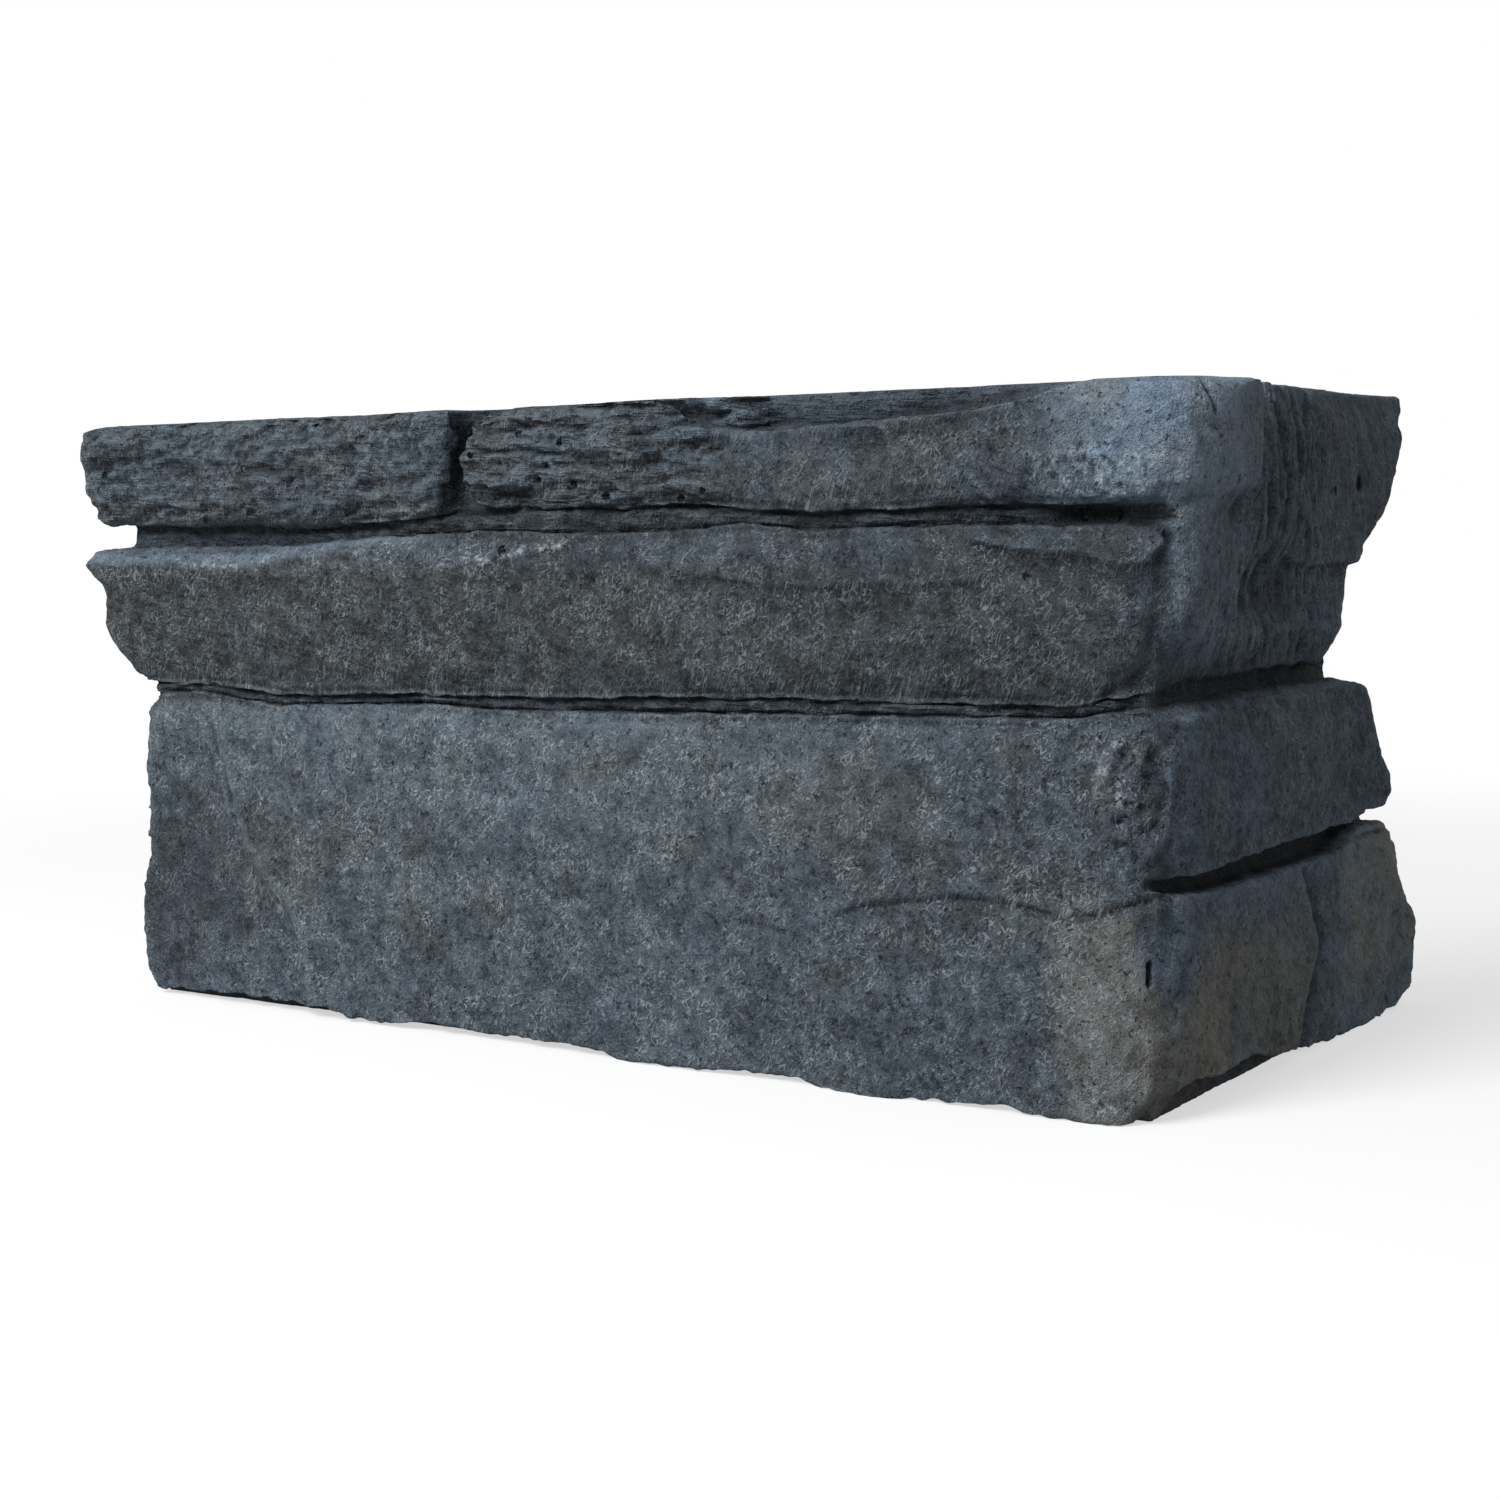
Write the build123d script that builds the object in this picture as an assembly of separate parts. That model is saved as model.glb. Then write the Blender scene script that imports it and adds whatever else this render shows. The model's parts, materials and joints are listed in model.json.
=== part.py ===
from build123d import *
from math import sin, sqrt
import os

os.makedirs("parts", exist_ok=True)

# Driving dimensions in millimetres. The general stone faces lie on the planes Y = 0 (long leg, towards -X)
# and X = 0 (return leg, towards +Y), and the casting stands on its bed at Z = 0.
long_leg = 315.0
return_leg = 152.0
thickness = 36.0
joint_depth = 9.0
corner_radius = 15.0

# Heights of the courses and of the recessed joints between them, from the bed up
bottom_course = 48.0
lower_joint = 3.5
lower_course = 31.5
middle_joint = 3.5
middle_course = 35.5
upper_joint = 4.5
top_course = 25.5

# The lower and middle courses rise this much from the left end to the corner
course_rise = 4.0

# Upright joint between the two stones of the top course, which leans towards the corner
upright_joint = 5.0
upright_lean = 4.0
top_left_stone = 125.0

# Roughness of the split faces, and the rounding of their edges
wave_depth = 0.8
long_wave = 41.0
short_wave = 17.0
long_wave_rise = 29.0
short_wave_rise = 13.0
arris_round = 3.0
bevel = 4.5
face_edge = 7.0

# How far the stones reach into the backing, and how much shorter they are there
seat = 6.0
end_draft = 10.0

# The tall stone on the return leans out towards its top, and the top stone bulges past it at the corner
lean_in = 3.0
lean_out = 4.5
lean_fade = 0.9
front_bulge = 2.5
side_bulge = 4.0
bulge_lap = 27.0
corner_lap = 45.0
lap_depth = 1.5
foot_in = 2.0

# Stepped ends, as how far each stone stops short of its leg's full length, from its bottom to its top
lower_near_end = (21.0, 14.0, 12.0, 15.0, 18.0, 20.0, 22.0, 23.0, 25.0)
lower_far_end = (14.0, 3.0, 0.0, 15.0, 26.0, 26.0, 33.0, 40.0, 50.0)
middle_near_end = (19.0, 17.0, 12.0, 8.0, 0.0, 1.0, 6.0)
top_near_end = (7.0, 6.0, 4.0, 1.0, 0.0, 1.0, 6.0)
top_corner_near_end = (5.0, 4.0, 0.0, 0.0, 3.0, 8.0, 14.0)
tall_far_end = (60.0, 57.0, 52.0, 49.0, 36.0, 22.0, 16.0, 17.0)

# The backing's own ends: at the long leg's foot and head, and at each step of the return
backing_foot_end = 24.0
backing_head_end = 14.0
backing_far_end = (4.0, 4.0, 22.0, 48.0, 52.0, 30.0, 24.0)

# Broken ledge along the top front edge of the stone at the corner
ledge_length = 100.0
ledge_drop = 8.0
ledge_depth = 7.0

# Spalls and chips
spall_radius = 200.0
spall_reach = 5.0
bed_chip_start = 4.0
bed_chip_length = 92.0
bed_chip_rise = 6.0
bed_chip_depth = 12.0
bed_step_rise = 2.0
bed_step_from_corner = 83.0

# The lower joint on the return: where it starts behind the corner, where it turns up, and by how much
joint_start = 10.0
joint_belly = 30.0
joint_turn = 106.0
joint_turn_length = 6.0
joint_sag = 2.5

# Cuts run this far past the face
clear = 20.0

# Levels worked out from the heights
lower_bottom = bottom_course + lower_joint
lower_top = lower_bottom + lower_course
middle_bottom = lower_top + middle_joint
middle_top = middle_bottom + middle_course
top_bottom = middle_top + upper_joint
height = top_bottom + top_course
root = joint_depth + seat

# A course's cross-section: share of its height, and share of the bevel that the face is set back there
pillow = ((0.0, 1.0), (0.06, 0.4), (0.2, 0.05), (0.5, 0.0), (0.8, 0.05), (0.94, 0.4), (1.0, 1.0))

# Cross-section of the two lower courses: share of the height, share of the bevel, share of the set-back foot.
# Their lower edge is sharp.
foot_pillow = ((0.0, 0.2, 1.0), (0.06, 0.1, 1.0), (0.28, 0.0, 1.0), (0.45, 0.0, 0.8), (0.60, 0.07, 0.4),
               (0.72, 0.0, 0.0), (0.90, 0.1, 0.0), (0.97, 0.4, 0.0), (1.0, 1.0, 0.0))


def wave(along, z):
    """Gentle hollows and swells of a split face, the distance along the wall and the height given."""
    long_swell = sin(along / long_wave + z / long_wave_rise)
    short_swell = sin(along / short_wave - z / short_wave_rise)
    return wave_depth * (long_swell + 0.6 * short_swell)


def lift(x, z):
    """Height of a level at a distance from the corner: the courses rise towards it, the bed and top do not."""
    if z <= lower_top:
        share = z / lower_top
    elif z <= middle_top:
        share = 1.0
    else:
        share = max(0.0, (top_bottom - z) / upper_joint)
    return z + share * course_rise * (0.5 + x / long_leg)


def lean(z):
    """How far the face of the return stands out at a height between the tall stone's foot and the top."""
    return -lean_in + (lean_in + lean_out) * (z - middle_bottom) / (height - middle_bottom)


def face_points(start, end, z, inset, spans):
    """Points of a face between two distances along the wall, as (distance, depth) pairs."""
    edge = min(face_edge, (end - start) / 5)
    first = start + edge
    last = end - edge
    inner = [first + i * (last - first) / spans for i in range(spans + 1)]
    return [(along, inset + wave(along, z)) for along in [start] + inner + [end]]


def lifted(points, z):
    """Points of the plan set on their level."""
    return [(x, y, lift(x, z)) for x, y in points]


def closed(edges, z, back):
    """Plan outline at one level: rough edges in front and straight ones behind."""
    corners = [edges[-1] @ 1] + lifted(back, z) + [edges[0] @ 0]
    return Face(Wire(edges + [Line(a, b) for a, b in zip(corners, corners[1:])]))


def straight_plan(z, left, right, inset):
    """Plan outline of a stone that lies on the long leg alone."""
    face = face_points(left + arris_round, right - arris_round, z, inset, 3)
    face = [(left, inset + arris_round)] + face + [(right, inset + arris_round)]
    return closed([Spline(*lifted(face, z))], z, [(right, root), (left + end_draft, root)])


def corner_plan(z, left, right, inset, side_out=0.0, front_out=0.0):
    """Plan outline of a stone that turns the corner."""
    r = corner_radius
    turned = (1 - sqrt(0.5)) * r
    x_out = side_out - inset - wave(r, z)
    y_out = inset - front_out + wave(-r, z)
    face = face_points(left + arris_round, x_out - r, z, inset, 6)
    face = [(left, inset + arris_round)] + face[:-2] + [(x, y_out) for x, depth in face[-2:]]
    side = face_points(y_out + r, right - arris_round, z, inset, 2)
    side = [(x_out, y) for y, depth in side[:2]] + [(side_out - depth, y) for y, depth in side[2:]]
    side = side + [(side[-1][0] - arris_round, right)]
    turn = [face[-1], (x_out - turned, y_out + turned), side[0]]
    edges = [Spline(*lifted(face, z)), ThreePointArc(*lifted(turn, z)), Spline(*lifted(side, z))]
    far = max(right - end_draft, root + 1)
    return closed(edges, z, [(-root, far), (-root, root), (left + end_draft, root)])


def side_plan(z, start, right, inset, side_out):
    """Plan outline of a stone that lies on the return leg alone."""
    side = face_points(start + 2 * arris_round, right - arris_round, z, inset, 3)
    side = [(side_out * (1 - lean_fade * (y - start) / return_leg) - depth, y) for y, depth in side]
    side = [(side[0][0] - 2 * arris_round, start)] + side + [(side[-1][0] - arris_round, right)]
    return closed([Spline(*lifted(side, z))], z, [(-root, right - end_draft), (-root, start)])


def backing():
    """Flat-backed layer that carries the stones, drawn as the elevation of each leg."""
    foot = -long_leg + backing_foot_end
    head = -long_leg + backing_head_end
    long_side = Polyline((foot, 0), (foot, middle_bottom), (head, middle_bottom + upper_joint), (head, height),
                         (-joint_depth, height), (-joint_depth, 0), close=True)
    long_back = extrude(Plane.XZ * make_face(long_side), amount=-(thickness - joint_depth))
    long_back = Pos(0, joint_depth, 0) * long_back
    levels = (0, bottom_course / 2, lower_bottom, middle_bottom, middle_top - 2 * bevel,
              top_bottom + bevel, height)
    steps = [(return_leg - end, z) for end, z in zip(backing_far_end, levels)]
    return_side = Polyline((joint_depth, 0), *steps, (joint_depth, height), close=True)
    return_back = extrude(Plane.YZ * make_face(return_side), amount=thickness - joint_depth)
    return_back = Pos(-thickness, 0, 0) * return_back
    return long_back + return_back


def lower_block():
    """The bottom and lower courses, one rough mass on the long leg and two stones on the return."""
    plans = []
    for (share, back, foot), near, far in zip(foot_pillow, lower_near_end, lower_far_end):
        z = share * lower_top
        plans.append(corner_plan(z, -long_leg + near, return_leg - far, back * bevel, -foot * foot_in))
    return loft(plans, ruled=True)


def middle_stone():
    """The middle course, from the left end to the corner, where it runs into the tall stone."""
    plans = []
    for (share, back), near in zip(pillow, middle_near_end):
        z = middle_bottom + share * middle_course
        plans.append(corner_plan(z, -long_leg + near, corner_lap, back * bevel, lean(z) - lap_depth))
    return loft(plans, ruled=True)


def top_left():
    """The short stone at the left of the top course."""
    plans = []
    for (share, back), near in zip(pillow, top_near_end):
        z = top_bottom + share * top_course
        right = -long_leg + top_left_stone + share * upright_lean
        plans.append(straight_plan(z, -long_leg + near, right, back * bevel))
    return loft(plans, ruled=True)


def top_corner():
    """The long stone of the top course, bulging at the corner."""
    plans = []
    for (share, back), near in zip(pillow, top_corner_near_end):
        z = top_bottom + share * top_course
        start = -long_leg + top_left_stone + upright_joint + near
        side_out = lean(z) + side_bulge * min(1.0, 0.4 + 2 * share)
        front_out = front_bulge * (0.4 + 0.6 * share)
        plans.append(corner_plan(z, start, bulge_lap, back * bevel, side_out, front_out))
    return loft(plans, ruled=True)


def tall_stone():
    """The upright stone on the return leg, which takes in the middle and top courses."""
    rise = height - middle_bottom
    top = len(tall_far_end) - 1
    plans = []
    for i, far in enumerate(tall_far_end):
        z = middle_bottom + rise * i / top
        inset = bevel if i in (0, top) else 0.2 * bevel if i in (1, top - 1) else 0.0
        plans.append(side_plan(z, joint_depth / 2, return_leg - far, inset, lean(z)))
    return loft(plans, ruled=True)


def lower_joint_cut():
    """The recessed joint between the two lower stones of the return leg, which dies out at the corner."""
    end = return_leg + clear
    turned = joint_turn + joint_turn_length
    floor = ((joint_start, bottom_course - 0.4 * joint_sag), (joint_belly, bottom_course - joint_sag),
             (joint_turn - 2 * joint_turn_length, bottom_course - 1.4 * joint_sag),
             (joint_turn, bottom_course - 0.4 * joint_sag), (turned, bottom_course + 0.4 * joint_sag),
             (end, bottom_course + 0.6 * joint_sag))
    roof = ((end, lower_bottom + 0.8 * joint_sag), (turned, lower_bottom + 0.6 * joint_sag),
            (joint_turn, lower_bottom - 0.4 * joint_sag), (2 * joint_belly, lower_bottom),
            (joint_belly, lower_bottom - 0.6 * joint_sag), (-arris_round, lower_bottom - 0.4 * joint_sag))
    drawn = make_face(Polyline(*floor, *roof, close=True))
    return Pos(-joint_depth, 0, 0) * extrude(Plane.YZ * drawn, amount=joint_depth + clear)


def broken_ledge_cut():
    """Where the front layer of the top stone has split off below the top edge."""
    near = -corner_radius - arris_round
    rim = [(near - share * ledge_length, height - drop * ledge_drop)
           for share, drop in ((0.0, 0.0), (0.2, 0.6), (0.6, 0.9), (0.8, 1.0), (1.0, 0.8))]
    above = height + bevel
    drawn = make_face(Polyline((near, above), *rim, (rim[-1][0] - ledge_drop, above), close=True))
    return Pos(0, ledge_depth, 0) * extrude(Plane.XZ * drawn, amount=ledge_depth + clear)


def spall_cut():
    """Shell-shaped hollow at the lower left, where a flake has come off."""
    centre = Pos(-long_leg + corner_radius, -spall_radius + spall_reach, 0.3 * lower_top)
    return centre * Sphere(spall_radius)


def bed_step_cut():
    """The left stones stop a little above the bed."""
    step = Box(long_leg, joint_depth + clear, 2 * bed_step_rise)
    return Pos(-bed_step_from_corner - long_leg / 2, (joint_depth - clear) / 2, 0) * step


def bed_chip_cut():
    """Long chip along the lower edge of the return leg."""
    end = bed_chip_start + bed_chip_length
    below = -bed_step_rise
    chip = Polyline((bed_chip_start, below), (bed_chip_start + 0.23 * bed_chip_length, bed_chip_rise),
                    (bed_chip_start + 0.55 * bed_chip_length, bed_chip_rise), (end, below), close=True)
    return Pos(-bed_chip_depth, 0, 0) * extrude(Plane.YZ * make_face(chip), amount=bed_chip_depth + clear)


def veneer_corner():
    """The whole casting, one piece."""
    lower = lower_block() - lower_joint_cut() - spall_cut() - bed_step_cut() - bed_chip_cut()
    top = top_corner() - broken_ledge_cut()
    casting = backing() + lower + middle_stone() + tall_stone() + top_left() + top
    box = casting.bounding_box()
    return Pos(-round(box.center().X, 1), -round(box.center().Y, 1), 0) * casting


casting = veneer_corner()
casting.label = "veneer_corner"
export_step(casting, "parts/veneer_corner.step")
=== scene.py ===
"""Stone veneer corner: one cast concrete corner of six ledge stones, with its rock relief and finish."""
import json
import math

import bpy
import numpy as np
from mathutils import Matrix, Vector


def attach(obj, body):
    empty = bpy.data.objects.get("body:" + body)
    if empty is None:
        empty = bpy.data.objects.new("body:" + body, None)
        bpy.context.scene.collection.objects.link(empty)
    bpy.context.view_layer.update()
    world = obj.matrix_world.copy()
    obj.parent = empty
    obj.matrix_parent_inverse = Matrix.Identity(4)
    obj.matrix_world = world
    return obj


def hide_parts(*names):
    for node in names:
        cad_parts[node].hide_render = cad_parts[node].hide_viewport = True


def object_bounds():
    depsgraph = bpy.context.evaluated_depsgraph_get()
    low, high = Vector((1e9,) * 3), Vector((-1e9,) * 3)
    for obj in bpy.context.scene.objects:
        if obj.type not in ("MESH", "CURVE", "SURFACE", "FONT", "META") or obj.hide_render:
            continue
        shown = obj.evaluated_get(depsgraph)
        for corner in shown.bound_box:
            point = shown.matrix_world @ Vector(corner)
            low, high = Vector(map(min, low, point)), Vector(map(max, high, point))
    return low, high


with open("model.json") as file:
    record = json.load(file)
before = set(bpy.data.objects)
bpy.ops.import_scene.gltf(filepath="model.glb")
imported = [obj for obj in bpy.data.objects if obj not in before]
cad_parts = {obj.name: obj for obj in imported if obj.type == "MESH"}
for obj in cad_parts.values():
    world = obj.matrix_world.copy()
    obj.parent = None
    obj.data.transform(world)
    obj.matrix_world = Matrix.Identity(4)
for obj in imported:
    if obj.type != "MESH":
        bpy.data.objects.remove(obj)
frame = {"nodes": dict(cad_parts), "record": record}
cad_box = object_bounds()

MM = 0.001

# The casting's own measures, in millimetres. All relief is placed from its outer corner, where the plane of
# the long face meets the plane of the return face, at the height of the bed.
THICKNESS = 36.0
JOINT_DEPTH = 9.0
CORNER_RADIUS = 15.0
TOP = cad_box[1][2] / MM
GRID = 0.85
SMOOTH_ROUNDS = 3
AZIMUTH = 33.703
TRIANGLES = 190000
ARRIS_ANGLE = 48.0

mounts = {mount["name"]: Vector(mount["pos_m"]) for mount in frame["record"]["mounts"]}
corner_x = mounts["back_of_return"].x + THICKNESS * MM
corner_y = mounts["back_of_long_leg"].y - THICKNESS * MM
CORNER = np.array([corner_x, corner_y, 0.0]) / MM
BOX_LOW, BOX_HIGH = (np.array(corner) / MM - CORNER for corner in cad_box)


# Small tools for the relief

def ramp(value, low, high):
    """Smooth rise from 0 at low to 1 at high."""
    share = np.clip((value - low) / (high - low), 0, 1)
    return share * share * (3 - 2 * share)


def swell(distance, width):
    """1 on a line or at a point, fading to nothing about two widths away."""
    return np.exp(-(distance / width) ** 2)


def within(value, low, high, edge):
    """1 between low and high, with soft edges."""
    return ramp(value, low - edge, low + edge) * (1 - ramp(value, high - edge, high + edge))


def plates(value, step, edge=0.3):
    """Turns smooth swells into flat plates with short steps between them, as in split stone."""
    level = value / step
    base = np.floor(level)
    return step * (base + ramp(level - base, 1 - edge, 1))


def gradient_noise(points, size, seed):
    """Smooth noise between about -1 and 1 at each point, with lumps of the given size."""
    rng = np.random.default_rng(seed)
    table = rng.permutation(256)
    slopes = rng.normal(size=(256, 3))
    slopes /= np.linalg.norm(slopes, axis=1)[:, None]
    scaled = points / np.asarray(size, float) + rng.uniform(0, 99, 3)
    cell = np.floor(scaled).astype(np.int64)
    inside = scaled - cell
    blend = inside ** 3 * (inside * (inside * 6 - 15) + 10)
    total = np.zeros(len(points))
    for dx in (0, 1):
        for dy in (0, 1):
            for dz in (0, 1):
                step = np.array([dx, dy, dz])
                at = (cell + step) & 255
                index = table[(table[(table[at[:, 0]] + at[:, 1]) & 255] + at[:, 2]) & 255]
                weight = np.prod(np.where(step == 1, blend, 1 - blend), axis=1)
                total += weight * np.einsum("ij,ij->i", slopes[index], inside - step)
    return total * 1.6


class Skin:
    """The casting's surface while it is sculpted, in millimetres from its outer corner."""

    def __init__(self, mesh):
        self.mesh = mesh
        ends = np.empty(len(mesh.edges) * 2, np.int32)
        mesh.edges.foreach_get("vertices", ends)
        self.ends = ends.reshape(-1, 2)
        flat = np.empty(len(mesh.vertices) * 3)
        mesh.vertices.foreach_get("co", flat)
        self.place = flat.reshape(-1, 3) / MM - CORNER
        self.normal = self.normals()
        self.update()

    def evened(self, vectors, rounds):
        """Vectors averaged over each point's neighbours, so many times."""
        first, second = self.ends.T
        count = 1.0 + np.bincount(first, minlength=len(vectors)) + np.bincount(second, minlength=len(vectors))
        for _ in range(rounds):
            total = [part + np.bincount(first, part[second], len(part)) + np.bincount(second, part[first], len(part))
                     for part in vectors.T]
            vectors = np.stack(total, axis=1) / count[:, None]
        return vectors

    def normals(self):
        """Unit normal at each point of the mesh as it stands, evened out over its neighbours."""
        flat = np.empty(len(self.mesh.vertices) * 3)
        self.mesh.vertices.foreach_get("normal", flat)
        normal = self.evened(flat.reshape(-1, 3), SMOOTH_ROUNDS)
        return normal / (np.linalg.norm(normal, axis=1)[:, None] + 1e-9)

    def hollowness(self, rounds):
        """How far each point lies under the evened skin, in millimetres; negative on crests."""
        return np.einsum("ij,ij->i", self.evened(self.place, rounds) - self.place, self.normal)

    def update(self):
        """Works out where each point lies on the wall after a move."""
        x, y, self.height = self.place.T
        self.along = x + y
        self.depth = np.minimum(y, -x)
        out_x = np.maximum(x + CORNER_RADIUS, 0)
        out_y = np.minimum(y - CORNER_RADIUS, -1e-3 * (x < 0))
        length = np.hypot(out_x, out_y) + 1e-9
        self.outward = np.stack([out_x / length, out_y / length, np.zeros(len(x))], axis=1)
        self.faces_out = np.einsum("ij,ij->i", self.outward, self.normal)
        self.on_return = ramp(self.along, -2, 6)
        self.on_long = 1 - self.on_return

    def write(self):
        """Puts the points back into the mesh."""
        self.place = np.clip(self.place, BOX_LOW, BOX_HIGH)
        self.mesh.vertices.foreach_set("co", ((self.place + CORNER) * MM).ravel())
        self.mesh.update()
        self.normal = self.normals()
        self.update()

    def push(self, rise):
        """Moves the skin out by the given distances, in where they are negative."""
        self.place += self.outward * rise[:, None]
        self.update()

    def line(self, points):
        """Distance of each point from a line drawn on the wall, and the side of it: positive above."""
        points = np.array(points, float)
        here = np.stack([self.along, self.height], axis=1)
        nearest = np.full(len(here), 1e9)
        side = np.zeros(len(here))
        for start, end in zip(points, points[1:]):
            run = end - start
            share = np.clip((here - start) @ run / (run @ run), 0, 1)
            gap = here - start - share[:, None] * run
            distance = np.hypot(*gap.T)
            closer = distance < nearest
            nearest[closer] = distance[closer]
            side[closer] = np.sign(run[0] * gap[closer, 1] - run[1] * gap[closer, 0])
        return nearest, side

    def spot(self, along, height, wide, tall=None, power=2):
        """Soft round or oval patch on the wall, 1 in its middle."""
        tall = tall or wide
        reach = ((self.along - along) / wide) ** 2 + ((self.height - height) / tall) ** 2
        return np.exp(-reach ** (power / 2))

    def noise(self, size, seed):
        """Noise in the solid, so that it doesn't stretch on any side."""
        return gradient_noise(self.place, size, seed)

    def wall_noise(self, wide, tall, seed, tilt=0.0):
        """Noise drawn along the wall, for bedding and striations, tilted by so many degrees."""
        turn = math.radians(tilt)
        along = self.along * math.cos(turn) + self.height * math.sin(turn)
        up = self.height * math.cos(turn) - self.along * math.sin(turn)
        return gradient_noise(np.stack([along / wide, self.depth / min(wide, tall), up / tall], axis=1), 1.0, seed)


# Where the joints run, as (along, height) of their edges. The first of each pair is the edge in the plain
# solid at the left end and at the corner.

UPPER_JOINT_ROOF = ((-320, 126.2), (-274, 125), (-224, 124.2), (-202, 126), (-190, 127), (-163, 129.3), (-155, 128),
                    (-139, 128.5), (-132, 127.5), (-118, 128.6), (-97, 127.2), (-83, 126.4), (-38, 127), (0, 126.6))
UPPER_JOINT_SILL = ((-320, 119), (-261, 120), (-232, 120.2), (-202, 122), (-167, 123), (-153, 122.2), (-118, 122.6),
                    (-97, 124.2), (-89, 123.2), (-81, 122.5), (-38, 123.3), (-16, 122.9), (0, 123), (10, 124))
MIDDLE_JOINT_ROOF = ((-300, 84), (-265, 84), (-243, 82.2), (-210, 83.3), (-142, 84.3), (-98, 85.4), (-30, 85.7),
                     (-17, 86.5), (-5, 88.6), (10, 90), (60, 90.4), (90, 89.5))
MIDDLE_JOINT_SILL = ((-300, 80), (-271, 82.2), (-243, 79.4), (-190, 81.3), (-163, 80.2), (-124, 81.4), (-82, 82.2),
                     (-46, 82.7), (-17, 83.3), (-4, 85.7), (10, 86), (60, 86.4), (90, 86))
COURSE_RISE = 4.0
LONG_LEG = 315.0

# Front edges of the two ragged ends, as (height, along) points
LEFT_END = ((0, -293), (8, -298.8), (14, -298), (18, -299.4), (27, -298.8), (36, -295.6), (64, -293.6), (76.5, -293.5),
            (81, -290), (84.5, -296.8), (89, -299.2), (93.3, -304), (97.5, -306.4), (106, -307), (110.3, -309.9),
            (114.5, -315), (119, -314), (127, -308.6), (135.8, -312.6), (150.7, -314.4), (152, -312))
RIGHT_END = ((0, 140), (3, 151), (11, 152), (22, 151.8), (26, 147.8), (36, 136.6), (49, 123.5), (56.3, 128.4),
             (60.3, 127.5), (68.8, 120.2), (78.6, 117.6), (81.5, 115.8), (85, 107.4), (91.5, 93.3), (98.7, 95.7),
             (106, 100.9), (111.4, 101.4), (116.7, 110), (124, 123), (131.6, 129.9), (141, 136.9), (145, 135.3),
             (152, 137.2))


def plain_level(along, level):
    """Height of a course's edge in the plain solid, which rises towards the corner."""
    return level + COURSE_RISE * (0.5 + np.minimum(along, 0) / LONG_LEG)


def drawn_level(along, points):
    """Height of a drawn edge at each place along the wall."""
    return np.interp(along, *np.array(points, float).T)


def wander_joints(skin):
    """Shifts the courses' edges up and down so that the joints wander as drawn."""
    s, z = skin.along, skin.height
    plain = [np.zeros_like(s), plain_level(s, 83.0), plain_level(s, 86.5), plain_level(s, 122.0),
             np.full_like(s, 126.5), np.full_like(s, TOP)]
    drawn = [np.zeros_like(s), drawn_level(s, MIDDLE_JOINT_SILL), drawn_level(s, MIDDLE_JOINT_ROOF),
             drawn_level(s, UPPER_JOINT_SILL), drawn_level(s, UPPER_JOINT_ROOF), np.full_like(s, TOP)]
    fine = gradient_noise(np.stack([s, s * 0, z], axis=1), 9.0, 31)
    drawn = [edge + 0.5 * fine * (0 < k < 5) for k, edge in enumerate(drawn)]
    moved = z.copy()
    for low, high, new_low, new_high in zip(plain, plain[1:], drawn, drawn[1:]):
        inside = (z > low) & (z <= high)
        share = (z - low) / (high - low)
        moved = np.where(inside, new_low + share * (new_high - new_low), moved)
    skin_deep = 1 - ramp(skin.depth, THICKNESS - 8, THICKNESS - 3)
    skin.place[:, 2] += (moved - z) * skin_deep
    skin.update()


def fill_joints(skin):
    """The joints of the long face are shallower than those of the return, with a swollen, layered floor."""
    s, z = skin.along, skin.height
    lip = 1.5
    buried = np.clip(skin.depth - lip, 0, JOINT_DEPTH - lip)
    in_joint = (skin.depth > lip) * (skin.depth < JOINT_DEPTH + 3)
    layers = skin.wall_noise(11, 2.0, 21, tilt=2)
    crumbs = 0.7 * skin.noise(3.4, 22)
    for sill, roof, share, last in ((UPPER_JOINT_SILL, UPPER_JOINT_ROOF, 0.42, -12), (MIDDLE_JOINT_SILL, MIDDLE_JOINT_ROOF, 0.5, 2)):
        low, high = drawn_level(s, sill), drawn_level(s, roof)
        across = np.clip(2 * (z - low) / (high - low) - 1, -1, 1)
        joint = within(z, low - 1, high + 1, 0.8) * ramp(s, -292, -285) * (1 - ramp(s, last - 6, last))
        skin.push(in_joint * joint * (share * buried + (0.9 - 1.6 * across ** 2 + 1.1 * layers + crumbs) * (buried > 4)))
    low, high = drawn_level(s, UPPER_JOINT_SILL), drawn_level(s, UPPER_JOINT_ROOF)
    skin.push(-3.4 * within(z, low + 0.3, high - 0.3, 0.7) * within(s, -20, 3, 3) * (skin.depth < 7))
    skin.push(carve_line(skin, JOINT_HOOK, 0.9, 1.8) * (skin.depth < 7))


def close_ledge_end(skin):
    """Closes the upright joint at its top, and lets the broken ledge of the top stone start gently."""
    buried = np.clip(skin.depth - 1.0, 0, 7)
    above = skin.height - drawn_level(skin.along, LEDGE_RIM)
    bridge = within(skin.along, -200, -176, 4) * ramp(skin.height, 145.5, 150)
    skin.push(0.7 * buried * bridge * (skin.depth < 12))
    left = ramp(skin.along, -140, -132) * (1 - ramp(skin.along, -118, -76))
    skin.push(0.9 * buried * ramp(above, -1.5, 0.5) * left * (skin.depth < 12) * (skin.height > 138))


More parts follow.
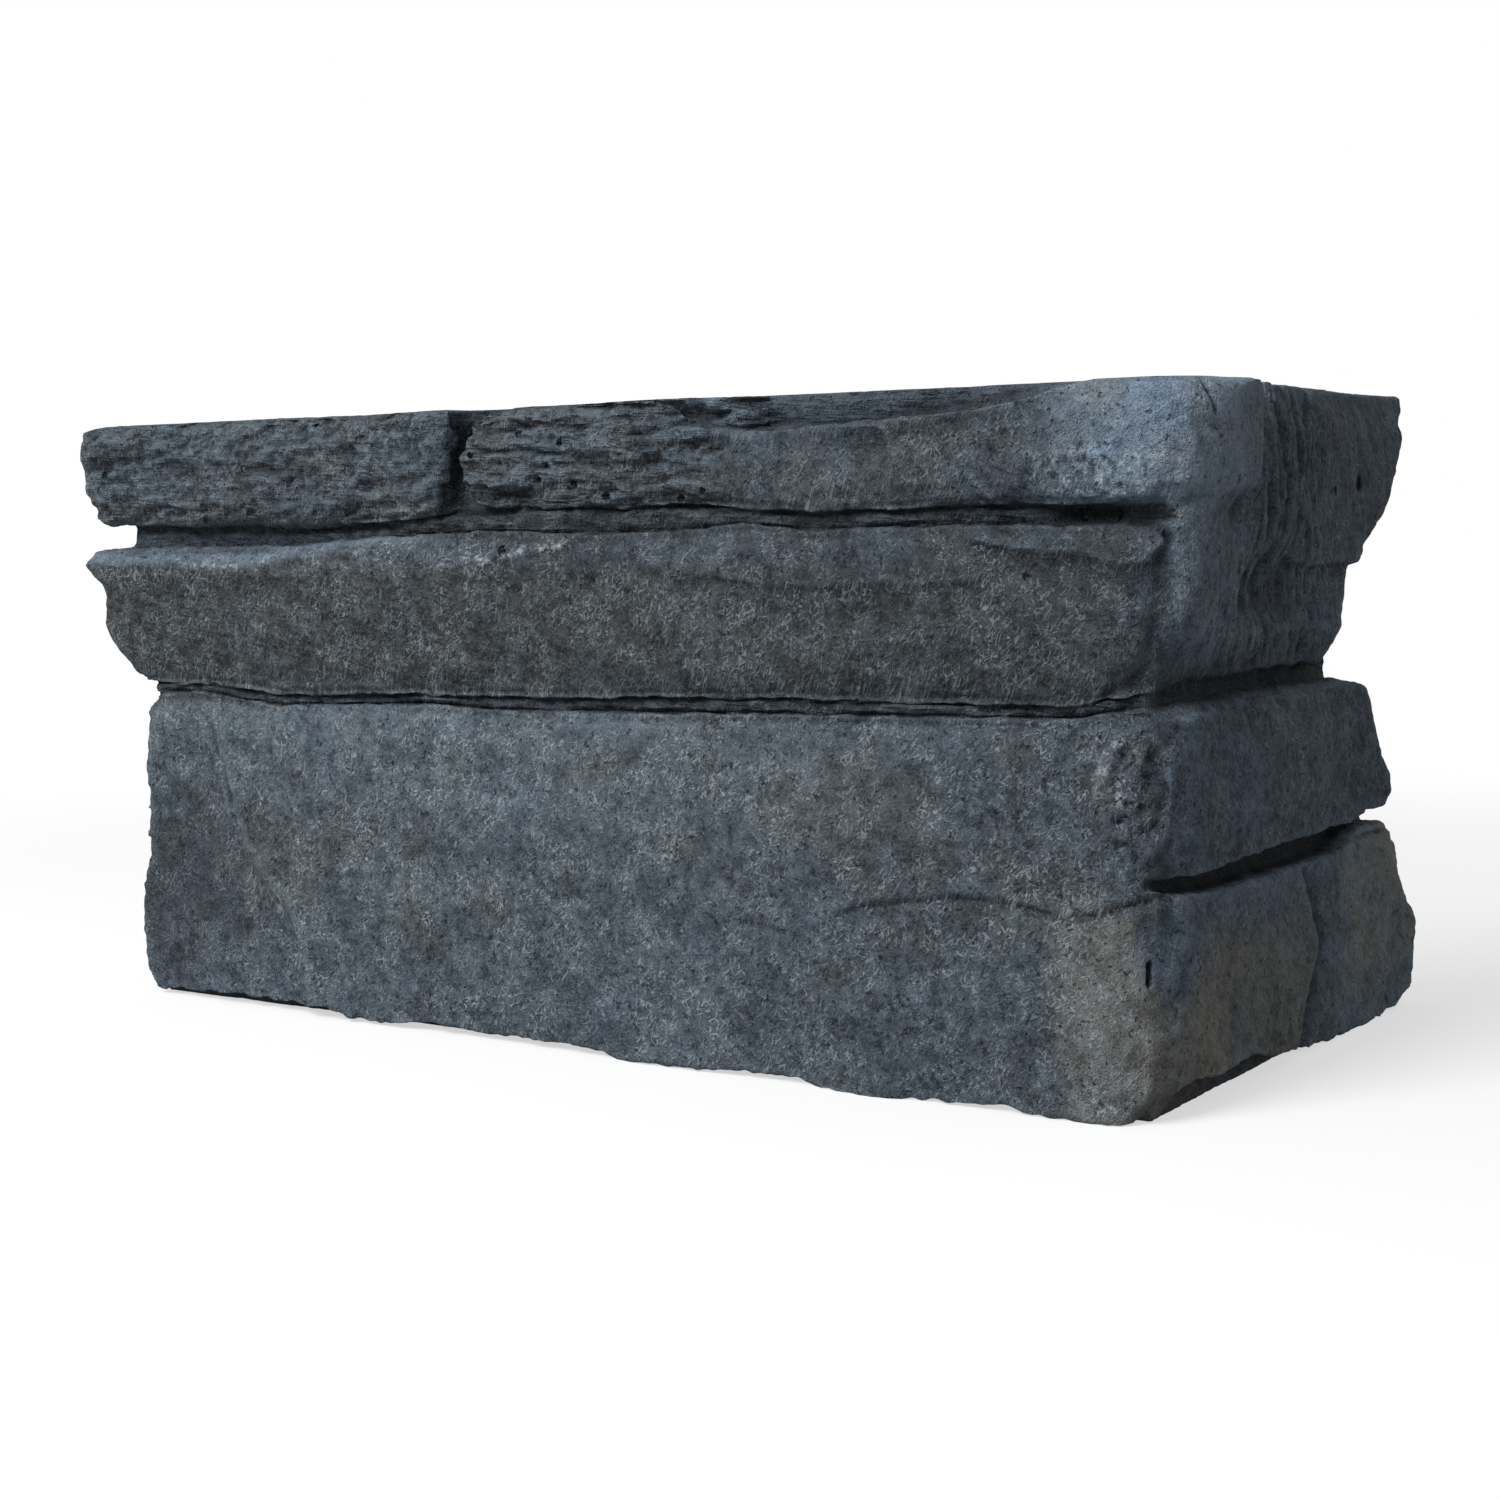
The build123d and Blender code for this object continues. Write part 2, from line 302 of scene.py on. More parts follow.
def trim_end(skin, way, outline, joints, most):
    """Gives the left (-1) or the right (1) end of the casting its ragged outline, as seen by the camera."""
    x, y, z = skin.place.T
    slant = math.tan(math.radians(AZIMUTH))
    reach = -(x + slant * y) if way < 0 else y + x / slant
    levels = np.arange(0.5, TOP, 1.0)
    row = np.clip(z.astype(int), 0, len(levels) - 1)
    farthest = np.zeros(len(levels))
    np.maximum.at(farthest, row, reach)
    stone = np.ones(len(levels), bool)
    for low, high in joints:
        stone &= (levels < low) | (levels > high)
    levels, farthest = levels[stone], farthest[stone]
    shift = np.clip(way * drawn_level(levels, outline) - farthest, -4, most)
    shift = np.convolve(np.pad(shift, 1, mode="edge"), (0.25, 0.5, 0.25), mode="valid")
    plain = np.interp(z, levels, farthest)
    share = ramp(way * skin.along, plain - 2.5 * most, plain) * (1 - ramp(skin.depth, 10, 26))
    skin.place[:, 0 if way < 0 else 1] += way * np.interp(z, levels, shift) * share
    skin.update()


def weather(skin):
    """General roughness: long swells, lumps and grain on every rough side, less on the beds, none behind."""
    s, z = skin.along, skin.height
    struck = ramp(skin.depth, THICKNESS - 1.5, THICKNESS - 0.3)
    level = np.abs(skin.normal[:, 2]) * ((z < 0.6) | (z > TOP - 0.6))
    ends = 1 - ramp(skin.faces_out, 0.2, 0.6)
    ends = ends * (1 - np.abs(skin.normal[:, 2])) * ramp(skin.depth, 0.5, 3)
    rough = (1 - struck) * (1 - 0.75 * level)
    lumps = 0.5 * skin.noise(23, 1) + 0.36 * skin.noise(9.5, 2)
    grain = 0.26 * skin.noise(4.2, 3) + 0.34 * skin.noise(2.3, 4)
    broken = 1.2 * plates(skin.noise(8, 7), 0.4) + 0.5 * skin.noise(3.1, 8)
    skin.place += skin.normal * ((lumps + grain + broken * ends) * rough)[:, None]
    skin.update()


# Features of the rock face that have a place of their own, as (along, height) points on the wall

SCOOP_RIM = ((-266, 74), (-262, 58), (-259, 48), (-252, 35), (-244, 28), (-239, 18), (-237, 2))
SCOOP_SHELLS = (((-272, 72), (-268, 62), (-264, 50)), ((-268, 74), (-264, 64), (-261, 54), (-256, 44)))
LEDGE_RIM = ((-150, 143), (-131, 144.1), (-122, 145.3), (-112, 145.6), (-107, 144.6), (-99, 143.8), (-94, 144),
             (-89, 145.1), (-84, 145.4), (-77, 144.3), (-62, 145), (-54, 146), (-47, 147), (-38, 148), (-29, 150),
             (-20, 152))
TOP_CRACKS = (((-132, 144), (-127, 144.8), (-122, 145.3), (-117, 146), (-111, 146.2)),
              ((-128, 141.7), (-122, 141.8), (-111, 142.4)), ((-111, 140.4), (-107, 140.7)),
              ((-176, 141), (-165, 142), (-152, 140.5)), ((-160, 137.6), (-148, 138.4), (-138, 137.2)),
              ((-170, 146), (-158, 147.4), (-146, 146.2)))
SHELF_EDGE = ((-318, 116.5), (-301, 115.6), (-283, 116.4), (-275, 115.6), (-259, 114.6), (-252, 115.8), (-243, 117.2),
              (-234, 118.4), (-218, 119.6), (-202, 120.8))
SHELF_BREAK = ((-182, 117), (-175, 116.4), (-170, 117.6), (-161, 118.6), (-150, 120))
FACE_CREASE = ((-116, 112.8), (-102, 111.4), (-95, 110.2), (-85, 110.2), (-73, 110.9), (-59, 110.8), (-45, 111.6))
KNOB_RIDGE = ((-38, 118.6), (-29, 117.6), (-20, 117.4), (-15, 115.6), (-8, 114.6), (-4, 116.4), (0, 119))
COURSE_CREASE = ((-92, 34), (-86, 36), (-80, 39), (-73, 41.7), (-63, 43.3), (-48, 45), (-34, 44.4), (-25, 42.8),
                 (-16, 43.8), (-10, 45.8), (0, 47.6), (9, 48.6))
SMALL_CRACK = ((-105, 35.8), (-99, 35.2), (-93, 34.4))
JOINT_HOOK = ((-8, 124), (-3.5, 123.4), (0.5, 121.8), (3, 119.8))
CORNER_CRACK = ((9, 151), (10.5, 148), (12, 145))
PIT_RIM = ((-13, 60), (-16, 67), (-14.5, 75), (-9, 81), (-2, 81.5), (2.5, 76), (3.4, 68), (1, 60), (-4, 55))
CORNER_SLIT = ((-2.6, 33.6), (-2.9, 29.4))
RETURN_CREASE = ((75, 46.6), (85, 36), (89, 26), (85, 15), (81, 9), (77, 2))
RETURN_LEDGE = ((62, 116), (68, 114), (80, 112.6), (102, 112.8))
STRIATIONS = (((40, 150), (45, 140), (49, 127), (46, 115), (42, 106)), ((52, 148), (56, 132), (55, 120), (50, 110)),
              ((62, 150), (63, 138), (67, 124), (62, 116)), ((47, 150), (51, 138), (53, 128)),
              ((73, 149), (72, 140), (76, 130)))
UNDER_FACET = ((-14, -2), (-8, 4), (3, 8.4), (14, 8.6), (25, 6.4), (34, 4))
BULGE_EDGE = ((43, 152), (43, 148), (39, 140), (34, 134), (30, 128))
BED_EDGE = ((-300, 2), (-291, 1.4), (-285, 2), (-253, 3), (-239, 2.2), (-232, 3), (-226, 1.8), (-213, 0.9), (-200, 2.3),
            (-175, 1.5), (-150, 1.8), (-143, 1.4), (-139, 0.1), (-116, 0.3), (-105, 1.5), (-94, 1), (-86, 0.6), (-84, 0),
            (-62, 0), (-54, 0.8), (-34, 1), (-27, 0.2), (-16, 0), (-7, 0.3), (-2, 2.2), (3, 4.4), (12, 5), (25, 5.7),
            (46, 6.4), (58, 5), (70, 3.6), (83, 1.6), (95, 0.4), (108, 0), (125, 0), (134, 0.5), (147, 1.8), (152, 3))
BED_CHIP = ((-82.4, 2), (-82.3, 0), (9, 0), (25, 6), (54.6, 6), (86, 0))
# Holes that air bubbles left in the cast face: along, height, radius
BUG_HOLES = ((-305, 138.8, 0.52), (-164, 145.5, 0.52), (-152, 143.1, 0.52), (-181, 144.2, 0.45), (-179, 140.8, 0.45),
             (-182.6, 140, 0.39), (-158, 134.7, 0.52), (-148, 133.9, 0.52), (-138.5, 130.6, 0.59), (-117.4, 129.8, 0.65),
             (-170, 118.2, 0.78), (-206, 66.5, 0.39), (-32, 112.5, 0.59), (-228, 149.6, 0.39), (-268, 126.8, 0.52),
             (91, 129.3, 0.59), (107, 131, 1.23), (-112, 131.6, 0.39), (-156, 138.2, 0.39), (-113, 141.2, 0.39))
HOLE_STRETCH = 0.65


def carve_line(skin, points, width, depth):
    """Narrow crack: a furrow along a line."""
    distance, _ = skin.line(points)
    return -depth * swell(distance, width)


def set_back(skin, points, drop, reach, edge=0.7, above=False):
    """Step at a line: the skin beyond it is set back, and comes forward again over the given reach."""
    distance, side = skin.line(points)
    if above:
        side = -side
    signed = -side * distance
    return -drop * ramp(signed, -edge, edge) * (1 - ramp(signed, 0.4 * reach, reach))


def bottom_block(skin):
    """The two lower courses: the scooped left end, the crease between the courses and the rough corner."""
    s, z = skin.along, skin.height
    rim = 1.3 * swell(skin.line(SCOOP_RIM)[0], 4) - 1.6 * skin.spot(-276, 34, 18, 30)
    rim += set_back(skin, SCOOP_RIM, 1.9, 30, 1.6)
    for shell in SCOOP_SHELLS:
        rim += 1.0 * swell(skin.line(shell)[0], 1.6)
    rise = rim * ramp(z, -4, 4) * (1 - ramp(z, 66, 80)) * ramp(s, -298, -288)
    rise += set_back(skin, COURSE_CREASE, 1.2, 20, 0.8) * ramp(s, -96, -70) * (1 - ramp(s, 4, 12))
    rise += carve_line(skin, COURSE_CREASE[2:], 0.9, 0.6)
    rise += carve_line(skin, SMALL_CRACK, 0.7, 0.7)
    rise += 1.0 * skin.spot(-170, 30, 26, 14) - 0.8 * skin.spot(-120, 55, 30, 12) + 0.7 * skin.spot(-60, 62, 24, 10)
    rise += 1.2 * skin.spot(-28, 26, 18, 20) - 0.8 * skin.spot(-200, 62, 20, 12)
    lower = (1 - ramp(z, 78, 84)) * skin.on_long
    rise += lower * 0.5 * plates(skin.wall_noise(30, 20, 63, tilt=-30), 0.4)
    rise += lower * 0.35 * plates(skin.wall_noise(11, 6, 64, tilt=-20), 0.4, 0.5)
    pitted = skin.spot(-7.5, 69, 9, 13, power=4)
    lumps = skin.noise(3.8, 61)
    rise += pitted * (0.9 * lumps + 0.7 * skin.noise(2.2, 65) - 1.0 * ramp(skin.noise(2.8, 62), 0.1, 0.5) - 0.2)
    rise += 0.9 * swell(skin.line(PIT_RIM)[0], 1.6)
    rise += carve_line(skin, CORNER_SLIT, 0.6, 3.0)
    rise += skin.spot(-73, 1, 11, 7, power=4) * 1.8 + skin.spot(-127, 0, 12, 5, power=4) * 0.9
    return rise


def return_face(skin):
    """The return leg: fluted tall stone with its hollow and ledge, and the crease of the bottom stone."""
    s, z = skin.along, skin.height
    tall = ramp(z, 90, 94) * skin.on_return
    fluted = within(s, 30, 86, 8)
    rise = tall * fluted * (1.6 * plates(skin.wall_noise(6, 34, 71, tilt=6), 0.35) + 0.7 * skin.wall_noise(2.6, 16, 74, tilt=8))
    rise += tall * 0.5 * plates(skin.wall_noise(12, 40, 72, tilt=8), 0.4)
    for flute in STRIATIONS:
        rise += tall * carve_line(skin, flute, 1.3, 1.1)
        rise += tall * 0.6 * swell(skin.line([(a + 2.4, b) for a, b in flute])[0], 1.3)
    rise -= 4.4 * skin.spot(52, 109, 15, 8, power=3)
    rise += set_back(skin, RETURN_LEDGE, 1.8, 18, 0.7) * ramp(s, 58, 66) * (1 - ramp(s, 104, 110))
    rise += 0.9 * skin.spot(20, 104, 9, 18) - 1.4 * swell(s - 1, 8) * within(z, 92, 120, 6)
    edge = np.interp(z, [126, 134, 140, 148, 152], [30, 34, 39, 43, 43])
    rise += 2.6 * ramp(s, 18, 27) * (1 - ramp(s, edge - 1, edge + 2)) * ramp(z, 124, 131)
    rise += 2.1 * swell(skin.line(BULGE_EDGE)[0], 1.5)
    distance, _ = skin.line(RETURN_CREASE)
    rise += -1.9 * swell(distance, 2.6) * (z < 47)
    beyond = ramp(s, np.interp(z, [2, 9, 15, 26, 36, 47], [77, 81, 85, 89, 85, 75]),
                  np.interp(z, [2, 9, 15, 26, 36, 47], [99, 103, 107, 111, 107, 97]))
    rise += 1.4 * beyond * (z < 47) * (1 - ramp(s, 120, 140))
    lower = (z < 84) * skin.on_return
    rise += lower * (0.6 * skin.noise(13, 73) + 0.6 * plates(skin.wall_noise(18, 9, 75, tilt=-12), 0.4))
    facet, side = skin.line(UNDER_FACET)
    below = np.where(z < np.interp(s, [-14, -8, 3, 14, 25, 34], [-2, 4, 8.4, 8.6, 6.4, 4]), facet, -facet)
    rise += -2.8 * ramp(below, -0.8, 6) * within(s, -12, 32, 3)
    return rise


def middle_course(skin):
    """Light shelf along the top of the middle course, its break, the crease below it and the knob."""
    s, z = skin.along, skin.height
    stone = within(z, 84, 125, 1.0) * skin.on_long
    ragged = 0.9 * gradient_noise(np.stack([s, 0 * s, 0 * s], axis=1), 4.0, 32)
    above = z - drawn_level(s, SHELF_EDGE) + ragged
    left = 1 - ramp(s, -212, -196)
    rise = stone * left * (-2.6 * ramp(above, 0, 5) + 0.7 * swell(above + 0.6, 1.2))
    rise -= stone * left * 1.1 * swell(above + 7, 5)
    chipped, _ = skin.line(SHELF_BREAK)
    rise += stone * (0.9 * swell(chipped, 1.1) - 1.0 * skin.spot(-168, 121, 9, 2))
    rise += stone * set_back(skin, FACE_CREASE, 1.1, 14, 0.6) * within(s, -118, -44, 6)
    rise += stone * (1.1 * swell(skin.line(KNOB_RIDGE)[0], 1.4) + 1.2 * skin.spot(-2, 119, 3.4, 2.4))
    rise += stone * set_back(skin, KNOB_RIDGE, 1.3, 9, 0.6) * within(s, -50, -6, 4)
    rise += stone * (0.9 * skin.spot(-255, 98, 24, 9) - 0.8 * skin.spot(-210, 104, 22, 9) + 0.8 * skin.spot(-60, 99, 30, 8))
    slanted = 0.7 * plates(skin.wall_noise(20, 7, 33, tilt=-24), 0.35) * (1 - ramp(s, -190, -120))
    rise += stone * (slanted + 0.3 * plates(skin.wall_noise(9, 4, 34, tilt=-10), 0.4))
    return rise


def top_course(skin):
    """Layered, pitted stones of the top course, and the ledge where the front layer has split off."""
    s, z = skin.along, skin.height
    stone = ramp(z, 125.5, 127.5) * skin.on_long
    layered = within(s, -188, -108, 10)
    rise = stone * layered * (2.1 * plates(skin.wall_noise(22, 4.0, 81, tilt=3), 0.4, 0.2)
                              + 1.3 * plates(skin.wall_noise(9, 2.4, 86, tilt=3), 0.4, 0.2))
    rise += stone * within(s, -312, -192, 4) * (2.0 * plates(skin.wall_noise(20, 6.5, 82, tilt=14), 0.4, 0.2)
                                                + 1.4 * plates(skin.wall_noise(8, 3.0, 87, tilt=10), 0.4, 0.2))
    rise += stone * within(s, -108, -30, 8) * 0.9 * plates(skin.wall_noise(20, 6, 88, tilt=8), 0.4)
    step = -1.9 * (1 - ramp(s, -166, -160)) * (z < np.interp(s, [-190, -179, -173, -165], [134.6, 134.2, 133.4, 133]))
    rise += stone * step * (s > -189)
    for crack in TOP_CRACKS:
        rise += stone * carve_line(skin, crack, 0.7, 1.2)
    above = z - drawn_level(s, LEDGE_RIM)
    open_ledge = within(s, -122, -24, 6)
    layers = plates(skin.wall_noise(24, 2.0, 83, tilt=1), 0.3, 0.2)
    rise += stone * open_ledge * (0.9 * swell(above + 0.4, 0.9) - 2.0 * ramp(above, 0.2, 1.2) * (1 - ramp(above, 3, 6)))
    rise += stone * open_ledge * ramp(above, 0.6, 2) * 2.4 * layers
    rise += stone * (2.4 * skin.spot(-101, 146.8, 9, 1.7, power=6))
    bulge = within(s, -40, 26, 8) * ramp(z, 128, 134)
    rise += 0.7 * bulge * skin.noise(15, 84)
    rise += carve_line(skin, CORNER_CRACK, 0.6, 1.1)
    pitted = skin.spot(-16, 134, 17, 6, power=4)
    rise -= pitted * 0.8 * ramp(skin.noise(2.4, 85), 0.1, 0.4)
    return rise


def pin_holes(skin):
    """Share of a bug hole's depth at each point: 1 in the middle of a hole."""
    holes = np.zeros(len(skin.along))
    for along, height, radius in BUG_HOLES:
        holes += skin.spot(along, height, radius, radius / HOLE_STRETCH, power=4)
    return np.minimum(holes, 1)


def chip_bed_edge(skin):
    """The lower front edge of the long leg is uneven."""
    s, z = skin.along, skin.height
    plain = drawn_level(s, BED_CHIP)
    wanted = drawn_level(s, BED_EDGE) + 0.55 * gradient_noise(np.stack([s, 0 * s, 0 * s], axis=1), 3.6, 35)
    front = 1 - ramp(skin.depth, 6, 9)
    reach = 9.0
    moved = np.where(z < reach, wanted + (z - plain) * (reach - wanted) / (reach - plain), z)
    skin.place[:, 2] += (moved - z) * front
    skin.update()


def sculpt(mesh):
    """All the relief, in the order in which it is laid over the plain solid."""
    skin = Skin(mesh)
    wander_joints(skin)
    fill_joints(skin)
    close_ledge_end(skin)
    trim_end(skin, -1, LEFT_END, ((79.5, 84.6), (119.6, 127.5)), 12)
    trim_end(skin, 1, RIGHT_END, ((84, 92), (48, 55)), 18)
    chip_bed_edge(skin)
    skin.write()
    on_skin = 1 - ramp(skin.depth, 5, 8)
    skin.push((bottom_block(skin) + return_face(skin) + middle_course(skin) + top_course(skin)) * on_skin)
    skin.write()
    weather(skin)
    skin.push(-2.1 * pin_holes(skin) * on_skin)
    skin.write()


def cast_mesh(node):
    """A fine even mesh of the CAD node's solid, as a new object."""
    rough = bpy.data.objects.new("casting_blank", node.data.copy())
    bpy.context.scene.collection.objects.link(rough)
    remesh = rough.modifiers.new("even_grid", "REMESH")
    remesh.mode = "VOXEL"
    remesh.voxel_size = GRID * MM
    mesh = bpy.data.meshes.new_from_object(rough.evaluated_get(bpy.context.evaluated_depsgraph_get()))
    bpy.data.objects.remove(rough)
    casting = bpy.data.objects.new("rock_faced_casting", mesh)
    bpy.context.scene.collection.objects.link(casting)
    return casting


def thin_out(casting):
    """Collapses the flat parts of the mesh, so that the triangles are where the relief is."""
    count = len(casting.data.polygons) * 2
    collapse = casting.modifiers.new("thin_out", "DECIMATE")
    collapse.ratio = min(1.0, TRIANGLES / count)
    collapse.use_collapse_triangulate = True
    thin = bpy.data.meshes.new_from_object(casting.evaluated_get(bpy.context.evaluated_depsgraph_get()))
    casting.modifiers.remove(collapse)
    casting.data = thin
    thin.validate()
    Skin(thin).write()


# Colour of the casting: masks painted by place, painted light and shade among them, and the concrete that uses them

def paint_masks(mesh):
    """Masks from 0 to 1 at each point: lighter, warm and blue-grey tone, chalk, fibres, where the bedding, flutes and
    strokes lie, painted light on upward faces, the bulge and the end piece, a painted blue sky tint on the return,
    painted highlights, and painted shade in recesses, joints and hollows.
    """
    skin = Skin(mesh)
    s, z = skin.along, skin.height
    long_face, side = skin.on_long, skin.on_return
    patchy = skin.noise(14, 91)
    crumbly = ramp(skin.noise(2.2, 92), -0.1, 0.3)
    above = z - drawn_level(s, SHELF_EDGE)
    shelf = within(z, 110, 124, 2) * long_face * ramp(above, -0.8, 0.6) * (1 - ramp(s, -212, -190))
    shelf_chips = swell(above - 0.2, 1.1) * within(s, -285, -238, 5) * within(z, 108, 122, 2)
    chalk = crumbly * (0.7 * shelf_chips + 0.7 * swell(skin.line(SHELF_BREAK)[0], 1.0)
                       + 0.6 * skin.spot(-10.5, 73, 6, 8, power=4) + 0.55 * skin.spot(-14, 134, 18, 6, power=4) + 0.5 * skin.spot(-14, 4, 7, 4))
    wander = 5 * skin.noise(17, 95)
    tan = (within(s + 0.9 * wander, -25, -3 + 7 * (1 - ramp(z, 22, 34)), 4.2) * within(z + 0.4 * wander, -2, 45, 3)
           + 0.7 * within(s + wander, 16, 80, 12) * within(z + wander, 0, 36, 9)
           + 0.7 * within(s + wander, -4, 30, 4) * within(z + wander, 0, 24, 7)
           + 0.35 * within(s + wander, 96, 160, 10) * within(z + wander, 6, 54, 9))
    around = ramp(s + wander, -16, 14)
    olive = within(z, 86, 114, 4) * (1 - ramp(s + wander, -34, 0))
    beyond_bulge, bulge_side = skin.line(BULGE_EDGE)
    ragged = 1.4 * skin.noise(5, 96)
    over_crease = z - drawn_level(s, FACE_CREASE) + ragged
    over_knob = z - drawn_level(s, KNOB_RIDGE) + ragged
    top_band = (within(s, -134, -56, 8) * ramp(over_crease, -1, 1) + within(s, -66, -8, 5) * ramp(over_knob, -1, 1))
    top_band = top_band * within(z, 106, 123, 1)
    under_knob = within(s, -56, -8, 6) * within(over_knob, -6, -0.5, 1.2)
    return_joint = side * (within(z, 85.6, 90.8, 0.8) * ramp(skin.depth, 1.5, 4)
                           + within(z, 42, 57, 2) * ramp(skin.depth, 4, 6)) * (skin.depth < THICKNESS - 4)
    upper = within(s, -26, 22, 12) * ramp(z, 124, 132)
    joint = np.zeros(len(s))
    for sill, roof in ((UPPER_JOINT_SILL, UPPER_JOINT_ROOF), (MIDDLE_JOINT_SILL, MIDDLE_JOINT_ROOF)):
        joint += within(z, drawn_level(s, sill) + 0.3, drawn_level(s, roof) + 0.2, 0.6) * ramp(skin.depth, 1.2, 3)
    upright = 1 - ramp(np.abs(skin.normal[:, 2]), 0.75, 0.95)
    ledge = within(s, -120, -14, 6) * ramp(z - drawn_level(s, LEDGE_RIM), 0, 1.5) * long_face
    top_stones = ramp(z, 126, 128) * within(s, -316, -108, 8)
    rim = (z - drawn_level(s, LEDGE_RIM)) + 99 * (1 - long_face)
    open_rim = within(s, -116, -22, 5)
    fine_hollow, broad_hollow = skin.hollowness(2), skin.hollowness(10)
    fine_scale, broad_scale = 0.55 - 0.25 * top_stones, 1.5 - 0.3 * top_stones
    masks = {
        # Painted shade: hollows of the skin, a band behind the ledge rim and the return's joints are darkened.
        "hollow": np.maximum(fine_hollow, 0) / fine_scale + np.maximum(broad_hollow, 0) / broad_scale
                  + 0.6 * open_rim * within(rim, 0.3, 2.0, 0.4) + 0.8 * return_joint,
        # Painted highlight on crests, on the ledge rim, along the bulge ridge, on the bulge top, on the return's end
        # piece and along the scoop rim.
        "painted_highlight": np.maximum(-fine_hollow, 0) / fine_scale + np.maximum(-broad_hollow, 0) / broad_scale
                 + 0.7 * open_rim * swell(rim + 0.7, 0.9) + 1.0 * swell(beyond_bulge, 1.1)
                 + (skin.depth < 30) * 0.45 * within(s, 2, 30, 5) * ramp(z, 126, 131) + 0.8 * side * ramp(s, 94, 104) * (z < 50)
                 + 0.4 * swell(skin.line(SCOOP_RIM)[0], 2.2) * (z < 76),
        # Painted shade in joints, under the knob ridge, beyond the bulge ridge, in the hollow above the upper joint and
        # at the corner; also darker over parts of the middle course and towards the right of the long face, lighter on
        # the top band and the tan.
        "deep": 0.75 * within(z, 86, 114, 4) * (1 - ramp(s + wander, -28, 2)) + 1.2 * return_joint
                + 0.35 * under_knob - 0.25 * top_band + 0.25 * within(s, -10, 12, 6) * within(z, 90, 112, 5) + 0.5 * skin.spot(-34, 130.5, 9, 3.4)
                + 0.3 * ramp(s, 34, 46) * ramp(z, 112, 122)
                + 0.6 * swell(np.maximum(beyond_bulge - 2.5, 0), 6) * (bulge_side > 0) * ramp(z, 126, 130)
                + 0.4 * long_face * ramp(s, -130, -60) * (1 - upper)
                + 0.5 * joint * (1 + 1.5 * (z < 100)) + 0.85 * within(z, 112, 124, 2) * long_face * ramp(s, -200, -160)
                - 0.35 * tan,
        "layered": upright * np.maximum.reduce([0.9 * top_stones, ledge, joint]),
        "slanted": within(z, 86, 116, 4) * long_face * (0.9 - 0.6 * ramp(s, -190, -110))
                   + 0.35 * within(z, 4, 80, 4) * (1 - ramp(s, -240, -180)) + 0.5 * side * (1 - ramp(z, 82, 90)),
        "fluted": upright * side * ramp(z, 92, 97) * ramp(s, 14, 30),
        # Lighter tone on the tan and other zones, with painted light on the shelf, ledge and top edge that face up, on
        # the bulge and on the return's end piece.
        "pale": 0.58 * shelf + 1.2 * upper + 0.12 * top_band + 0.4 * around * (1 - ramp(z, 40, 54)) + 0.9 * side * ramp(s, 94, 108) * (z < 50)
                + 0.36 * around * ramp(z, 92, 100) * (1 - 0.7 * ramp(s, 30, 60)) + 0.1 * long_face * ramp(z, 146, 150) + 0.4 * tan
                + 0.26 * long_face * within(z, 50, 82, 8) * (1 - ramp(s, -90, -20)) + 0.7 * ledge
                + 0.1 * long_face * within(z, 4, 44, 6),
        "warm": olive * (0.4 + 0.4 * within(s, -312, -120, 20)) + 0.4 * skin.spot(-193, 22, 20, 10) + 0.4 * skin.spot(-80, 58, 22, 14) + tan
                + 0.5 * skin.spot(-245, 40, 16, 18) + 0.4 * skin.spot(-115, 134, 14, 6) + 0.2 * side * ramp(z, 92, 100)
                + 0.3 * ramp(patchy, 0.1, 0.6),
        # Blue-grey tone, and on the return side and the corner a painted blue tint of the sky light that falls in the
        # shade there.
        "bluish_and_sky_tint": upper * (0.5 + 0.5 * ramp(s, -16, 0)) + 0.3 * ledge + 0.7 * shelf + 0.2 * long_face * (1 - ramp(z, 10, 40)) + 0.4 * ramp(-patchy, 0.1, 0.6)
                  + 0.5 * within(s, -2, 16, 8) * within(z + wander, 26, 46, 7) + 0.7 * around * (1 - ramp(tan, 0.1, 0.5)) + 0.3 * around * within(z, 92, 122, 8),
        # Painted shade: joints, recesses, bug holes, the return's hollow, the corner pits, the joint hook and the upper
        # joint by the corner are darkened.
        "dirt": 0.8 * ramp(skin.depth, 2.5, 6) * (1 - ramp(skin.depth, THICKNESS - 6, THICKNESS - 2)) + pin_holes(skin)
                + 0.5 * skin.spot(52, 108, 16, 8) + 0.35 * skin.spot(-3, 68, 6, 9)
                + 0.6 * swell(skin.line(JOINT_HOOK)[0], 0.9)
                + 0.7 * within(z, 123.4, 126.4, 0.7) * within(s, -14, 2, 2),
        "chalk": chalk,
        "fibrous": 0.45 + 0.45 * long_face * (1 - ramp(z, 118, 128)) + 0.1 * side + 0.3 * patchy + 0.25 * skin.spot(-210, 62, 40, 20),
    }
    for name, values in masks.items():
        layer = mesh.attributes.new(name, "FLOAT", "POINT")
        layer.data.foreach_set("value", np.clip(values, 0, 1).astype(np.float32))


class Amount:
    """A number that varies over the surface; arithmetic on it adds Math nodes."""

    def __init__(self, recipe, socket):
        self.recipe = recipe
        self.socket = socket

    def math(self, operation, *others):
        """The Math node's result for this amount and the others."""
        return self.recipe.node("ShaderNodeMath", {"operation": operation}, dict(enumerate((self, *others))))

    def __add__(self, other):
        return self.math("ADD", other)

    def __sub__(self, other):
        return self.math("SUBTRACT", other)

    def __rsub__(self, other):
        return self.recipe.node("ShaderNodeMath", {"operation": "SUBTRACT"}, {0: other, 1: self})

    def __mul__(self, other):
        return self.math("MULTIPLY", other)

    def clamped(self):
        """Kept between 0 and 1."""
        return self.recipe.node("ShaderNodeClamp", {}, {"Value": self})

    def ramped(self, low, high):
        """Smooth rise from 0 at low to 1 at high."""
        settings = {"interpolation_type": "SMOOTHSTEP"}
        return self.recipe.node("ShaderNodeMapRange", settings, {"Value": self, "From Min": low, "From Max": high})

    __radd__ = __add__
    __rmul__ = __mul__


